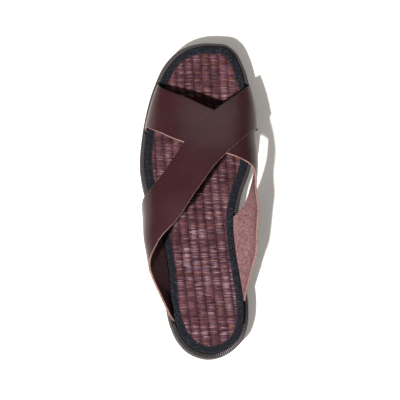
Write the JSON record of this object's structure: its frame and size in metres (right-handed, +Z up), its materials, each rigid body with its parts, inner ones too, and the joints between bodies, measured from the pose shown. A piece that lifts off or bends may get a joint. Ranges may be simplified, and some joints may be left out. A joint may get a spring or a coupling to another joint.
{
  "type": "tatami sandal",
  "caption": "Slip-on sandal for the left foot: thick wedge sole, ribbed woven rush footbed with a tape edge, and two wide leather straps that cross over the instep.",
  "frame": {"origin": "centre of the sandal's footprint box, on the floor", "axes": "+X to the inner (medial) side of the foot, +Y to the toe, +Z up"},
  "size_m": [0.1028, 0.2802, 0.0887],
  "materials": {
    "outsole": "matt, cut into bars underneath",
    "midsole": "fine-grained foam rubber",
    "welt": "satin, finely ribbed",
    "insole": "fibre board",
    "tatami_mat": "woven dyed rush",
    "binding": "woven cotton tape",
    "upper": "smooth grain outside, suede inside"
  },
  "bodies": {
    "root": {"outsole": "outsole", "midsole": "midsole", "welt": "welt", "insole": "insole", "tatami_mat": "tatami_mat", "binding": "binding", "upper": "upper"}
  },
  "joints": []
}
